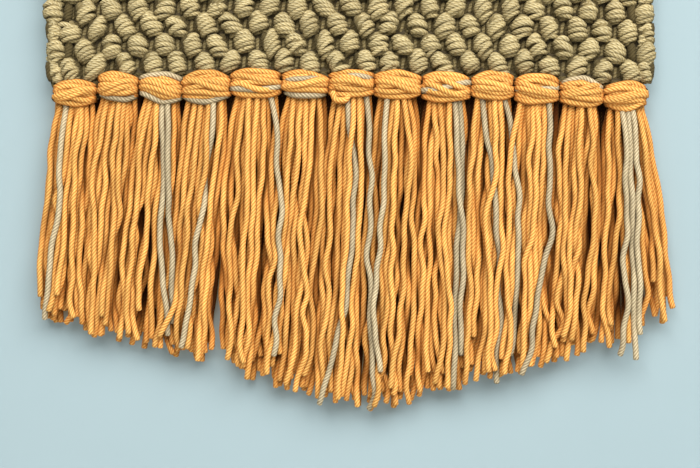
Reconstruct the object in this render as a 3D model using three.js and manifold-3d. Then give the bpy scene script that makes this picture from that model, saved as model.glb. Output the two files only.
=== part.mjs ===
// A knitted wall hanging: a moss-stitch panel with a row of yarn tassels tied along its lower edge.
// Millimetres. +X runs to the right, +Y towards the wall, +Z up.
// The origin is the middle of the panel's top edge.
import * as THREE from "three";
import { mergeVertices } from "three/addons/utils/BufferGeometryUtils.js";
import Module from "manifold-3d";

const wasm = await Module();
wasm.setup();

// Panel: rows of knitted bumps between a bound-off top edge and a thin hem that carries the tassels.
const PANEL_WIDTH = 302;
const BUMPS_ACROSS = 23;
const BUMP_ROWS = 12;
const ROW_HEIGHT = 9.5;
const BIND_OFF_HEIGHT = 6;
const BIND_OFF_HALF = 3;
const HEM_SHOULDER = 0.8;
const HEM_HEIGHT = 10;
const HEM_HALF = 2;
const CORE_HALF = 2.4;
const BUMP_RISE = 3.6;
const BUMP_ROUNDING = 0.6;
const CREASE_SHARE = 0.5;
const SLAB_LAP = 0.5;
const EDGE_WAVE = 1.6;
const SLABS = [
  { side: -1, pointsToBump: 4, linesToRow: 2 },
  { side: 1, pointsToBump: 2, linesToRow: 1 },
];

// Tassel: a cow hitch through a slot in the hem, with a wrapped bar in front and the cut yarn ends below.
const GAP = 0.3;
const BAR_HEIGHT = 14;
const BAR_DEPTH = 6.4;
const BAR_TOP = 1.2;
const BAR_STATIONS = 4;
const BAR_WRAPS = 5;
const BAR_GROOVE = 0.09;
const BAR_PINCH = 0.32;
const SLOT_WIDTH = 13.6;
const SLOT_HEIGHT = 5;
const SLOT_TOP = 1.6;
const SLOT_CUT = 9;
const BRIDGE_SINK = 1;
const NECK_WIDTH_SHARE = 0.86;
const NECK_HEIGHT = 4;
const NECK_FRONT = 5.4;
const NECK_BACK = 5.2;
const NECK_CLEARANCE = 1.8;

// Cut ends: three layers of strands, trimmed along a shallow V.
const STRAND_RADIUS = 1.25;
const STRAND_SIDES = 3;
const STRAND_SINK = 3;
const SPREAD_POWER = 0.75;
const TRIM_POINT_X = 12;
const TRIM_POINT_Z = -288;
const TRIM_SLOPE = 0.285;
const TRIM_UNEVEN = 9;
const TRIM_LONG_SHARE = 0.35;
const SWAY = 1.2;
const SWAY_DEPTH = 0.7;
const SWAY_LENGTH = 85;
const SWAY_SLANT = 0.8;
const SWAY_DEPTH_RATE = 0.7;
const LAYERS = [
  { strands: 7, depth: -3.5, bends: 4 },
  { strands: 6, depth: -0.4, bends: 3 },
  { strands: 7, depth: 2.7, bends: 3 },
];

// One row for each tassel, left to right: the knot's width, how far the lower edge sags there,
// and how far the cut ends swing sideways and how wide they spread.
const TASSELS = [
  { width: 22.0, sag: 4.4, swing: -7.8, spread: 20.0 },
  { width: 21.5, sag: 0.2, swing: -10.4, spread: 18.7 },
  { width: 21.5, sag: 0.2, swing: -11.0, spread: 23.0 },
  { width: 24.0, sag: -0.4, swing: -9.4, spread: 22.6 },
  { width: 26.0, sag: -1.6, swing: -5.6, spread: 18.6 },
  { width: 23.5, sag: -0.5, swing: -7.2, spread: 20.0 },
  { width: 23.0, sag: -1.0, swing: -7.0, spread: 22.4 },
  { width: 23.5, sag: -0.5, swing: -4.4, spread: 26.0 },
  { width: 25.0, sag: 0.0, swing: -1.4, spread: 20.6 },
  { width: 21.8, sag: 0.0, swing: -4.0, spread: 18.4 },
  { width: 22.7, sag: 0.9, swing: -5.4, spread: 22.0 },
  { width: 22.3, sag: 2.5, swing: -4.6, spread: 21.8 },
  { width: 21.8, sag: 4.7, swing: 5.6, spread: 36.0 },
];

const OLIVE = 0x948a60;
const MUSTARD = 0xe9a44b;

const BUMP_PITCH = PANEL_WIDTH / BUMPS_ACROSS;
const STITCHES_BOTTOM = -(BIND_OFF_HEIGHT + BUMP_ROWS * ROW_HEIGHT);
const HEM_BOTTOM = STITCHES_BOTTOM - HEM_HEIGHT;

// The middle of each knot along the lower edge.
function knotCentres() {
  const total = TASSELS.reduce((sum, tassel) => sum + tassel.width, 0);
  let left = -total / 2;
  return TASSELS.map((tassel) => {
    const middle = left + tassel.width / 2;
    left += tassel.width;
    return middle;
  });
}
const CENTRES = knotCentres();

// How far the panel's lower edge sags at x, straight from knot to knot.
function sagAt(x) {
  const last = CENTRES.length - 1;
  if (x <= CENTRES[0]) return TASSELS[0].sag;
  if (x >= CENTRES[last]) return TASSELS[last].sag;
  const next = CENTRES.findIndex((centre) => centre > x);
  const share = (x - CENTRES[next - 1]) / (CENTRES[next] - CENTRES[next - 1]);
  return THREE.MathUtils.lerp(TASSELS[next - 1].sag, TASSELS[next].sag, share);
}

// A fixed fraction from 0 to 1 that looks random, the same for the same number.
function scatter(number) {
  const wave = Math.sin(number * 12.9898) * 43758.5453;
  return wave - Math.floor(wave);
}

function solidOf(geometry) {
  geometry.deleteAttribute("normal");
  geometry.deleteAttribute("uv");
  const merged = mergeVertices(geometry, 1e-4);
  return new wasm.Manifold(
    new wasm.Mesh({
      numProp: 3,
      vertProperties: merged.attributes.position.array,
      triVerts: new Uint32Array(merged.index.array),
    }),
  );
}

function geometryOf(solid) {
  const mesh = solid.getMesh();
  const geometry = new THREE.BufferGeometry();
  geometry.setAttribute("position", new THREE.BufferAttribute(mesh.vertProperties, 3));
  geometry.setIndex(new THREE.BufferAttribute(mesh.triVerts, 1));
  geometry.computeVertexNormals();
  return geometry;
}

// Moves each point of a geometry to where place(point) puts it.
function reshape(geometry, place) {
  const points = geometry.attributes.position;
  const point = new THREE.Vector3();
  for (let i = 0; i < points.count; i++) {
    point.fromBufferAttribute(points, i);
    points.setXYZ(i, ...place(point).toArray());
  }
  return geometry;
}

// Plain wool yarn in one colour.
function yarn(color) {
  return new THREE.MeshStandardMaterial({ color, roughness: 0.95, metalness: 0 });
}

function block(left, right, front, back, bottom, top) {
  const geometry = new THREE.BoxGeometry(right - left, back - front, top - bottom);
  return geometry.translate((left + right) / 2, (front + back) / 2, (bottom + top) / 2);
}

// How far down the rows of bumps a height is, counted in rows.
function rowsDown(z) {
  return (-z - BIND_OFF_HEIGHT) / ROW_HEIGHT;
}

// Moss stitch as a wave from -1 in a hollow to 1 on a bump.
// Each row's bumps sit between those of the row above.
function moss(x, z) {
  const across = (x + PANEL_WIDTH / 2) / BUMP_PITCH;
  return -Math.cos(2 * Math.PI * across) * Math.sin(Math.PI * rowsDown(z));
}

// Share of a bump's full rise at x and z, on the face that side points to. The rows part at a crease.
function rise(side, x, z) {
  const dome = ((1 - side * moss(x, z)) / 2) ** BUMP_ROUNDING;
  const crest = Math.abs(Math.sin(Math.PI * rowsDown(z)));
  return dome * THREE.MathUtils.lerp(CREASE_SHARE, 1, crest);
}

// Heights of a slab's cross lines, from the top edge down through the rows of bumps to the hem.
function crossLines(linesToRow) {
  const lines = [0];
  for (let line = 0; line <= linesToRow * (BUMP_ROWS - 1); line++) {
    lines.push(-BIND_OFF_HEIGHT - ROW_HEIGHT * (0.5 + line / linesToRow));
  }
  return [...lines, STITCHES_BOTTOM - HEM_SHOULDER, HEM_BOTTOM];
}

// One half of the panel's thickness: bumps on its outer side, and flat inside, just past the middle.
function slabGeometry({ side, pointsToBump, linesToRow }) {
  const lines = crossLines(linesToRow);
  const columns = BUMPS_ACROSS * pointsToBump;
  const sheet = new THREE.BoxGeometry(PANEL_WIDTH, 1, 1, columns, 1, lines.length - 1);
  return reshape(sheet, (point) => {
    const z = lines[Math.round((0.5 - point.z) * (lines.length - 1))];
    const knitted = z < 0 && z > STITCHES_BOTTOM;
    const wave = knitted ? moss(point.x, z) : 0;
    const plain = z === 0 ? BIND_OFF_HALF : HEM_HALF;
    const outside = knitted ? CORE_HALF + BUMP_RISE * rise(side, point.x, z) : plain;
    const y = side * (point.y * side > 0 ? outside : -SLAB_LAP);
    const onEdge = Math.abs(point.x) > PANEL_WIDTH / 2 - 1e-3;
    const x = point.x + (onEdge ? Math.sign(point.x) * EDGE_WAVE * wave : 0);
    return new THREE.Vector3(x, y, z - (sagAt(x) * z) / HEM_BOTTOM);
  });
}

// Splits each cell of the sheet along the diagonal that runs through its highest point.
function foldOverCrowns(sheet) {
  const height = (i) => Math.abs(sheet.attributes.position.getY(i));
  const corners = sheet.index.array;
  for (let cell = 0; cell < corners.length; cell += 6) {
    const [a, b, d, , c] = corners.slice(cell, cell + 6);
    if (Math.max(height(a), height(c)) > Math.max(height(b), height(d))) {
      corners.set([a, b, c, a, c, d], cell);
    }
  }
  return sheet;
}

function panelMesh() {
  const [front, back] = SLABS.map((slab) => solidOf(foldOverCrowns(slabGeometry(slab))));
  let panel = front.add(back);
  CENTRES.forEach((centre, i) => {
    const top = STITCHES_BOTTOM - SLOT_TOP - TASSELS[i].sag;
    const half = SLOT_WIDTH / 2;
    const slot = block(centre - half, centre + half, -SLOT_CUT, SLOT_CUT, top - SLOT_HEIGHT, top);
    panel = panel.subtract(solidOf(slot));
  });
  const mesh = new THREE.Mesh(geometryOf(panel), yarn(OLIVE));
  mesh.name = "knitted_panel";
  return mesh;
}

// The bar of wraps across the front of a knot, grooved between the wraps and pinched at both ends.
// Its own origin is the middle of the bar's flat back.
function barGeometry(width) {
  const ring = 2 * BAR_WRAPS + 2;
  const tube = new THREE.CylinderGeometry(1, 1, 1, ring, BAR_STATIONS);
  return reshape(tube, (point) => {
    const atCapCentre = Math.hypot(point.x, point.z) < 0.5;
    const turn = Math.round((Math.atan2(point.x, point.z) / (2 * Math.PI)) * ring + ring) % ring;
    const fromMiddle = Math.abs(2 * point.y);
    const pinch = 1 - BAR_PINCH * fromMiddle ** 2;
    const x = point.y * width;
    if (atCapCentre || turn === 0) return new THREE.Vector3(x, 0, 0);
    const angle = Math.PI / 2 - (Math.PI * (turn - 1)) / (ring - 2);
    const reach = pinch * (turn % 2 === 0 ? 1 : 1 - BAR_GROOVE);
    const depth = Math.max(0, Math.cos(angle)) * BAR_DEPTH * reach;
    return new THREE.Vector3(x, -depth, (Math.sin(angle) * BAR_HEIGHT * reach) / 2);
  });
}

// A strand's centre line, in the part's frame. Down is the share of the way from the knot to the trim line.
function strandPoint(root, foot, down) {
  const x = THREE.MathUtils.lerp(root.x, foot.x, down ** SPREAD_POWER);
  const z = THREE.MathUtils.lerp(root.z, foot.z, down);
  const phase = (2 * Math.PI * (x + SWAY_SLANT * z)) / SWAY_LENGTH;
  return new THREE.Vector3(
    x + SWAY * down * Math.sin(phase),
    root.y + SWAY_DEPTH * down * Math.cos(SWAY_DEPTH_RATE * phase),
    z,
  );
}

// Reach is where the strand is cut, as a share of the way to the trim line.
function strandGeometry(root, foot, reach, bends) {
  const rod = new THREE.CylinderGeometry(STRAND_RADIUS, STRAND_RADIUS, 1, STRAND_SIDES, bends);
  return reshape(rod, (point) => {
    const centre = strandPoint(root, foot, reach * (0.5 - point.y));
    return new THREE.Vector3(centre.x + point.x, centre.y - point.z, centre.z);
  });
}

function trimLine(x) {
  return TRIM_POINT_Z + TRIM_SLOPE * Math.abs(x - TRIM_POINT_X);
}

function tasselMesh(tassel, index) {
  const centre = CENTRES[index];
  const edge = STITCHES_BOTTOM - tassel.sag;
  const barWidth = tassel.width - GAP;
  const neckHalf = (SLOT_WIDTH - 2 * GAP) / 2;
  const neckTop = HEM_BOTTOM - tassel.sag - NECK_CLEARANCE;
  const neckBottom = neckTop - NECK_HEIGHT;
  const slotTop = edge - SLOT_TOP - GAP;
  const slotBottom = edge - SLOT_TOP - SLOT_HEIGHT + GAP;
  const barBack = -HEM_HALF - GAP;

  const bar = barGeometry(barWidth).translate(centre, barBack, edge - BAR_TOP - BAR_HEIGHT / 2);
  const left = centre - neckHalf;
  const right = centre + neckHalf;
  const bridge = block(left, right, barBack - BRIDGE_SINK, NECK_BACK, slotBottom, slotTop);
  const behind = block(left, right, HEM_HALF + GAP, NECK_BACK, neckBottom, slotTop);
  const wide = (tassel.width * NECK_WIDTH_SHARE) / 2;
  const neck = block(centre - wide, centre + wide, -NECK_FRONT, NECK_BACK, neckBottom, neckTop);

  let solid = [bridge, behind, neck].reduce((sum, piece) => sum.add(solidOf(piece)), solidOf(bar));
  LAYERS.forEach((layer, layerIndex) => {
    for (let k = 0; k < layer.strands; k++) {
      const lane = (k + 0.5) / layer.strands - 0.5;
      const number = index * 100 + layerIndex * 20 + k + 1;
      const rootX = centre + lane * 2 * wide;
      const footX = centre + tassel.swing + lane * tassel.spread;
      const root = new THREE.Vector3(rootX, layer.depth, neckBottom + STRAND_SINK);
      const foot = new THREE.Vector3(footX, layer.depth, trimLine(footX));
      const longer = TRIM_UNEVEN * (TRIM_LONG_SHARE - scatter(number));
      const reach = 1 + longer / (root.z - foot.z);
      solid = solid.add(solidOf(strandGeometry(root, foot, reach, layer.bends)));
    }
  });
  const mesh = new THREE.Mesh(geometryOf(solid.translate([-centre, 0, -edge])), yarn(MUSTARD));
  mesh.name = `tassel_${String(index + 1).padStart(2, "0")}`;
  mesh.position.set(centre, 0, edge);
  return mesh;
}

const hanging = new THREE.Group();
hanging.add(panelMesh());
TASSELS.forEach((tassel, index) => hanging.add(tasselMesh(tassel, index)));

export default hanging;
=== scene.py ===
import math

import bmesh
import bpy
import numpy as np
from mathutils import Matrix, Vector


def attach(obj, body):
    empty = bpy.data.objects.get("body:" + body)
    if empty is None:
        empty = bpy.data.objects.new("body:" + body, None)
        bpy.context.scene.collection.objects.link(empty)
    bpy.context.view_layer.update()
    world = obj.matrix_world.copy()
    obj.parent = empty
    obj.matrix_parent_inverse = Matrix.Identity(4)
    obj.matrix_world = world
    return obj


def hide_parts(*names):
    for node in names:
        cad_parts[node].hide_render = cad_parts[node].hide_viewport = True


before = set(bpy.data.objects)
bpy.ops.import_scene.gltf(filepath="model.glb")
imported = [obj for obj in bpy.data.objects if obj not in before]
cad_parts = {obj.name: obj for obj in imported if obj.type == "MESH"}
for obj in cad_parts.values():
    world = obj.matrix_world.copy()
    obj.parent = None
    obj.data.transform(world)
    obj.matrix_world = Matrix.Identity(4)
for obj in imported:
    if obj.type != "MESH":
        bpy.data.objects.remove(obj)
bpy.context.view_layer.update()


# The knitted panel is chunky olive wool in moss stitch, bound off along the top and cast on along the hem.
# This ground is the thin web of loops that joins its bumps. It hangs from its top edge, and its lower edge
# sags a little at the corners, where the outer tassels pull. The hanging's sizes are in millimetres.
MM = 0.001
PANEL_WIDTH = 302
STITCHES_WIDTH = 307.5
BUMPS_ACROSS = 23
BUMP_ROWS = 12
ROW_HEIGHT = 9.5
BIND_OFF_HEIGHT = 6
HEM_HEIGHT = 10
BUMP_PITCH = STITCHES_WIDTH / BUMPS_ACROSS
STITCHES_BOTTOM = -(BIND_OFF_HEIGHT + BUMP_ROWS * ROW_HEIGHT)
HEM_BOTTOM = STITCHES_BOTTOM - HEM_HEIGHT
GROUND_WIDTH = 290
GROUND_TOP = -2
GROUND_BOTTOM = HEM_BOTTOM + 1
GROUND_WAVE = 0.7
GROUND_THICKNESS = 1.0
CELLS_PER_BUMP = 4
# The ground's colours are painted shade: olive darkened almost to black in the hollows, mottled between
# these two.
GROUND_SHADE_DARK = (0.012, 0.008, 0.003, 1)
GROUND_SHADE_LIGHT = (0.095, 0.068, 0.026, 1)
GROUND_FIBRES = {"Scale": 520.0, "Detail": 5.0}
GROUND_RELIEF = {"Distance": 0.6 * MM, "Strength": 0.8}
GROUND_ROUGHNESS = 0.95

# One row for each tassel, left to right: the knot's width and height, how far the lower edge sags there,
# and how far the cut ends swing sideways and how wide they spread.
TASSELS = np.array(
    [
        (22.0, 14.0, 4.4, -7.8, 20.0),
        (21.5, 16.0, 0.2, -10.4, 18.7),
        (21.5, 16.8, 0.2, -11.0, 23.0),
        (24.0, 17.4, -0.4, -9.4, 22.6),
        (26.0, 16.0, -1.6, -5.6, 18.6),
        (23.5, 15.2, -0.5, -7.2, 20.0),
        (23.0, 15.2, -1.0, -7.0, 22.4),
        (23.5, 15.4, -0.5, -4.4, 26.0),
        (25.0, 16.4, 0.0, -1.4, 20.6),
        (21.8, 15.4, 0.0, -4.0, 18.4),
        (22.7, 16.6, 0.9, -5.4, 22.0),
        (22.3, 16.6, 2.5, -4.6, 21.8),
        (21.8, 16.0, 4.7, 5.6, 36.0),
    ],
    dtype=[(column, float) for column in ("width", "height", "sag", "swing", "spread")],
)
KNOT_X = np.cumsum(TASSELS["width"]) - (TASSELS["width"] + TASSELS["width"].sum()) / 2


def sag_panel(points):
    """Lowers points of the straight panel, in millimetres, to where it hangs."""
    sag = np.interp(points[..., 0], KNOT_X, TASSELS["sag"])
    hung = points.copy()
    hung[..., 2] -= sag * points[..., 2] / HEM_BOTTOM
    return hung


def moss_wave(x, z):
    """Moss stitch as a wave from -1 in a hollow to 1 on a bump of the front."""
    across = (x + STITCHES_WIDTH / 2) / BUMP_PITCH
    down = (-z - BIND_OFF_HEIGHT) / ROW_HEIGHT
    return -np.cos(2 * np.pi * across) * np.sin(np.pi * down)


def add_node(tree, kind, inputs=(), **settings):
    """Adds a shader node. An input is a plain value or another node's output socket."""
    node = tree.nodes.new(kind)
    for setting, value in settings.items():
        setattr(node, setting, value)
    for socket, value in dict(inputs).items():
        if isinstance(value, bpy.types.NodeSocket):
            tree.links.new(value, node.inputs[socket])
        else:
            node.inputs[socket].default_value = value
    return node


def mix_colours(tree, share, first, second):
    """The colour between two, the first at a share of 0 and the second at 1."""
    mixed = add_node(tree, "ShaderNodeMix", {0: share, 6: first, 7: second}, data_type="RGBA")
    return mixed.outputs[2]


def new_material(name):
    """A material with an empty node tree but for its output."""
    material = bpy.data.materials.new(name)
    material.use_nodes = True
    material.node_tree.nodes.clear()
    add_node(material.node_tree, "ShaderNodeOutputMaterial")
    return material


def give_surface(material, shader):
    """Makes a shader node the material's surface."""
    tree = material.node_tree
    tree.links.new(shader.outputs[0], tree.nodes["Material Output"].inputs["Surface"])


def ground_material():
    """Wool between the bumps, painted dark olive as shade and mottled by loose fibres."""
    material = new_material("olive_ground")
    tree = material.node_tree
    place = add_node(tree, "ShaderNodeTexCoord").outputs["Object"]
    fibres = add_node(tree, "ShaderNodeTexNoise", {"Vector": place, **GROUND_FIBRES}).outputs[0]
    bump = add_node(tree, "ShaderNodeBump", {"Height": fibres, **GROUND_RELIEF})
    sockets = {
        "Base Color": mix_colours(tree, fibres, GROUND_SHADE_DARK, GROUND_SHADE_LIGHT),
        "Roughness": GROUND_ROUGHNESS,
        "Normal": bump.outputs[0],
    }
    give_surface(material, add_node(tree, "ShaderNodeBsdfPrincipled", sockets))
    return material


web = bmesh.new()
bmesh.ops.create_grid(
    web,
    x_segments=BUMPS_ACROSS * CELLS_PER_BUMP,
    y_segments=BUMP_ROWS * CELLS_PER_BUMP,
    size=0.5,
)
for vertex in web.verts:
    x = vertex.co.x * GROUND_WIDTH
    z = GROUND_BOTTOM + (vertex.co.y + 0.5) * (GROUND_TOP - GROUND_BOTTOM)
    y = -GROUND_WAVE * moss_wave(x, z) if z > STITCHES_BOTTOM else 0.0
    vertex.co = sag_panel(np.array([x, y, z])) * MM
bmesh.ops.recalc_face_normals(web, faces=web.faces)
ground_mesh = bpy.data.meshes.new("knitted_ground")
web.to_mesh(ground_mesh)
web.free()
ground_mesh.shade_smooth()
ground_mesh.materials.append(ground_material())
ground = bpy.data.objects.new("knitted_ground", ground_mesh)
bpy.context.collection.objects.link(ground)
thickness = ground.modifiers.new("thickness", "SOLIDIFY")
thickness.thickness = GROUND_THICKNESS * MM
thickness.offset = 0
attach(ground, "root")
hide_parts("knitted_panel")


# The moss stitches are bumps, each a loop of soft wool held several strands together.
# The strands of a bump arch over it side by side and dive into the web at both ends,
# and each row's bumps sit between those of the row above.
CHANCE_SEED = 23
TO_TOP = (0, 0, 1)
TO_BACK = (0, 1, 0)

# A strand of yarn: its sides, the length in which its plies turn once and the length that its map spans, how
# its ends round and its sides are painted darker as shade, and how it and its ends lie in their cell of the
# bake map.
YARN_SIDES = 6
TWIST_LENGTH = 9.4
YARN_MAP_LENGTH = 100
END_ROUNDING = 0.62
SIDE_SHADE = 0.42
# From where a face takes the back's painted shade, and the darkest that painted shade gets.
BACK_SIDE_FROM = 0.1
LEAST_OPEN = 0.05
BAKE_SIDE_MARGIN = 0.05
BAKE_END_MARGIN = 0.04
CAP_BAKE_SIZE = (0.3, 0.012)

# The arches of a bump, the wool inside it and the legs of the stitches beside it.
BUMP_STRAND_RADIUS = 1.42
BUMP_STRAND_SIDES = 5
BUMP_HALF_WIDTH = 4.25
BUMP_END_WIDTH = 0.64
BUMP_HALF_HEIGHT = 5.05
BUMP_BASE = 0.2
BUMP_BULGE = 5.3
BUMP_CROWN = 0.8
BUMP_FAN = math.radians(70)
BUMP_DIVE = math.radians(106)
BUMP_DROOP = 2.5
BUMP_RISE_TO_RIGHT = 0.32
BUMP_LEAN = 0.2
BUMP_STRAY_SHARE = 0.12
BUMP_STRAY = 0.5
HALF_BUMP_SHARE = 0.58
HALF_BUMP_INSET = 5.2
HALF_BUMP_BULGE = 0.4
CORE_RADIUS = 3.1
CORE_REACH = 4.2
CORE_OUT = 2.4
CORE_POINTS = 6
LEG_RADIUS = 2.4
LEG_REACH = 4.8
LEG_SPREAD = (2.9, 1.7)
LEG_DEPTH = 1.9
LEG_BOW = 0.7
LEG_POINTS = 5
LEG_EDGE_OUT = -3

# How much chance changes each bump, and each strand in it.
BUMP_VARIES = {"width": 0.05, "height": 0.06, "rise": 0.2, "lean": 0.16, "across": 0.5, "down": 0.45}
STRAND_VARIES = {"fan": 0.1, "width": 0.05, "droop": 0.3, "rise": 0.1, "out": 0.25}

# Painted shade on the stitches: how far out a bump's yarn is hidden and clear, how open it lies at its
# deepest and on its lowest strand, over the bumps under it, and how open the wool inside and beside it lies,
# painted dark.
BUMP_HIDDEN = -0.4
BUMP_CLEAR = 3.4
BUMP_LEAST_OPEN = 0.22
BUMP_LOWER_OPEN = 0.66
CORE_OPEN = 0.3
LEG_OPEN = 0.11

# The wool: its dye on the plies, the painted shade in the grooves between them and on yarn that lies deep,
# and how those and the fibres vary.
OLIVE = (0.527, 0.446, 0.254, 1)
OLIVE_PAINTED_SHADE = (0.265, 0.192, 0.07, 1)
OLIVE_PLIES = 5
PLY_RIDGE = (-1.0, 0.7)
GROOVE_TO_PLY = (-0.18, 1.15)
FIBRE_SCALE = (46.0, 60.0, 1.0)
FIBRE_DETAIL = 3.0
FIBRE_HEIGHT = 0.45
DYE_SCALE = (1.5, 7.0, 1.0)
DYE_DETAIL = 2.0
DYE_SHIFT = 90.0
DYE_SPAN = (0.3, 0.7)
DYE_VALUES = (0.88, 1.1)
STRAND_VALUES = (0.86, 1.1)
SHADE_SPAN = (0.0, 0.5)
SHADE_VALUES = (0.05, 1.0)
PLY_RELIEF = {"Distance": 0.45 * MM, "Strength": 0.75}
WOOL_FINISH = {
    "Roughness": 0.9,
    "Specular IOR Level": 0.1,
    "Sheen Weight": 0.12,
    "Sheen Roughness": 0.45,
}

# Each face's bumps: which way they stand out, whether the even or the odd rows reach the edges, how the
# arches are drawn, and how far the bumps at the edges are pushed out.
STITCH_FACES = (
    {"name": "front_stitches", "outward": -1, "shift": 0, "strands": 7, "points": 13, "edge_out": 0.8},
    {"name": "back_stitches", "outward": 1, "shift": 1, "strands": 6, "points": 9, "edge_out": -1.4},
)
HALF_ROWS = BUMP_ROWS // 2
chance = np.random.default_rng(CHANCE_SEED)


def calculate(tree, operation, *values):
    """One step of arithmetic on plain values or sockets."""
    step = add_node(tree, "ShaderNodeMath", enumerate(values), operation=operation)
    return step.outputs[0]


def remap(tree, value, span, result=(0.0, 1.0), **settings):
    """A value stretched from one span to another."""
    sockets = {
        "Value": value,
        "From Min": span[0],
        "From Max": span[1],
        "To Min": result[0],
        "To Max": result[1],
    }
    return add_node(tree, "ShaderNodeMapRange", sockets, **settings).outputs[0]


def yarn_noise(tree, yarn_map, scale, shift, detail):
    """Noise along the yarn, shifted so that each strand has its own."""
    place = add_node(tree, "ShaderNodeMapping", {"Vector": yarn_map, "Scale": scale})
    sockets = {"Vector": place.outputs[0], "W": shift, "Scale": 1.0, "Detail": detail}
    return add_node(tree, "ShaderNodeTexNoise", sockets, noise_dimensions="4D").outputs[0]


def plied_yarn_group():
    """Twisted plies with grooves painted dark as shade and fine fibres, on the map around and along each
    strand, darkened further where the shade attribute holds painted shade.
    """
    group = bpy.data.node_groups.new("plied_yarn", "ShaderNodeTree")
    for socket in ("Colour", "Groove"):
        group.interface.new_socket(socket, in_out="INPUT", socket_type="NodeSocketColor")
    group.interface.new_socket("Plies", in_out="INPUT", socket_type="NodeSocketFloat")
    group.interface.new_socket("Colour", in_out="OUTPUT", socket_type="NodeSocketColor")
    group.interface.new_socket("Height", in_out="OUTPUT", socket_type="NodeSocketFloat")
    dye_and_shade = add_node(group, "NodeGroupInput")
    yarn_map = add_node(group, "ShaderNodeUVMap", uv_map="yarn").outputs[0]
    tone = add_node(group, "ShaderNodeAttribute", attribute_name="tone").outputs["Fac"]
    shade = add_node(group, "ShaderNodeAttribute", attribute_name="shade").outputs["Fac"]

    around = add_node(group, "ShaderNodeSeparateXYZ", {"Vector": yarn_map}).outputs["X"]
    turns = calculate(group, "MULTIPLY", around, dye_and_shade.outputs["Plies"])
    crest = calculate(group, "COSINE", calculate(group, "MULTIPLY", turns, 2 * math.pi))
    ridge = remap(group, crest, PLY_RIDGE, interpolation_type="SMOOTHSTEP")
    fibres = yarn_noise(group, yarn_map, FIBRE_SCALE, tone, FIBRE_DETAIL)
    height = calculate(group, "MULTIPLY_ADD", fibres, FIBRE_HEIGHT, ridge)
    # Painted shade: the colour turns to the shade colour in the ply grooves and where the shade attribute is
    # low.
    painted_lit = calculate(group, "MULTIPLY", remap(group, height, GROOVE_TO_PLY), shade)
    plied = mix_colours(group, painted_lit, dye_and_shade.outputs["Groove"], dye_and_shade.outputs["Colour"])

    own_shift = calculate(group, "MULTIPLY", tone, DYE_SHIFT)
    dye = yarn_noise(group, yarn_map, DYE_SCALE, own_shift, DYE_DETAIL)
    strand_value = remap(group, tone, (0.0, 1.0), STRAND_VALUES)
    dye_value = remap(group, dye, DYE_SPAN, DYE_VALUES)
    # Painted shade: where the shade attribute is low, the whole colour is darkened too.
    painted_shade_value = remap(group, shade, SHADE_SPAN, SHADE_VALUES)
    value = calculate(group, "MULTIPLY", calculate(group, "MULTIPLY", strand_value, dye_value), painted_shade_value)
    shaded = add_node(group, "ShaderNodeHueSaturation", {"Value": value, "Color": plied})
    add_node(group, "NodeGroupOutput", {"Colour": shaded.outputs[0], "Height": height})
    return group


PLIED_YARN = plied_yarn_group()


def yarn_material(name, colour, painted_shade, ply_count):
    """Matt wool yarn of one dye, with painted shade in its ply grooves and where its shade attribute is low,
    and a soft halo of fibres.
    """
    material = new_material(name)
    tree = material.node_tree
    dye_and_shade = {"Colour": colour, "Groove": painted_shade, "Plies": ply_count}
    plies = add_node(tree, "ShaderNodeGroup", dye_and_shade, node_tree=PLIED_YARN)
    bump = add_node(tree, "ShaderNodeBump", {"Height": plies.outputs["Height"], **PLY_RELIEF})
    sockets = {
        "Base Color": plies.outputs["Colour"],
        "Sheen Tint": colour,
        "Normal": bump.outputs[0],
        **WOOL_FINISH,
    }
    give_surface(material, add_node(tree, "ShaderNodeBsdfPrincipled", sockets))
    return material


def spin_yarn(paths, radius, facing, dye=0, front=1.0, back=1.0, sides=YARN_SIDES):
    """A bundle of plied strands along centre lines, strands by points by xyz in millimetres.

    Facing is a direction that no strand runs along, and dye the strands' material, one for all or one each.
    Front and back say how open each point lies to the front and to the back, from 0 to 1, and darken its
    colour by that as painted shade.
    """
    strands, points = paths.shape[:2]
    along = np.gradient(paths, axis=1)
    along /= np.linalg.norm(along, axis=2, keepdims=True)
    facing = np.asarray(facing, float)
    side = facing - (along @ facing)[..., None] * along
    side /= np.linalg.norm(side, axis=2, keepdims=True)
    across = np.cross(along, side)
    angle = 2 * np.pi * np.arange(sides)[:, None] / sides
    outward = np.cos(angle) * side[:, :, None] + np.sin(angle) * across[:, :, None]
    reach = np.full((points, 1, 1), float(radius))
    reach[[0, -1]] *= END_ROUNDING

    steps = np.linalg.norm(np.diff(paths, axis=1), axis=2)
    length = np.concatenate([np.zeros((strands, 1)), np.cumsum(steps, axis=1)], axis=1)

    front, back = (np.broadcast_to(way, (strands, points))[..., None] for way in (front, back))
    # Painted shade: each point takes the openness of the way it faces, and every strand's sides are painted
    # darker.
    backward = outward[..., 1]
    both_ways = front + (back - front) * (0.5 + 0.5 * backward)
    own_way = np.where(backward < BACK_SIDE_FROM, front, back)
    painted_side_shade = 1 - SIDE_SHADE * (1 - np.abs(backward))
    return {
        "rings": paths[:, :, None] + reach * outward,
        "shade": painted_side_shade * np.minimum(own_way, both_ways),
        "length": length,
        "tone": chance.random(strands),
        "dye": np.broadcast_to(dye, strands),
    }


def yarn_places(bundle, strand, ring, turn):
    """Places on the yarn map, around the twisted plies and along the strand."""
    length = bundle["length"][strand, ring]
    sides = bundle["rings"].shape[2]
    around = turn / sides - length / TWIST_LENGTH - bundle["tone"][strand]
    return np.stack([around, length / YARN_MAP_LENGTH], -1).reshape(-1, 2)


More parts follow.
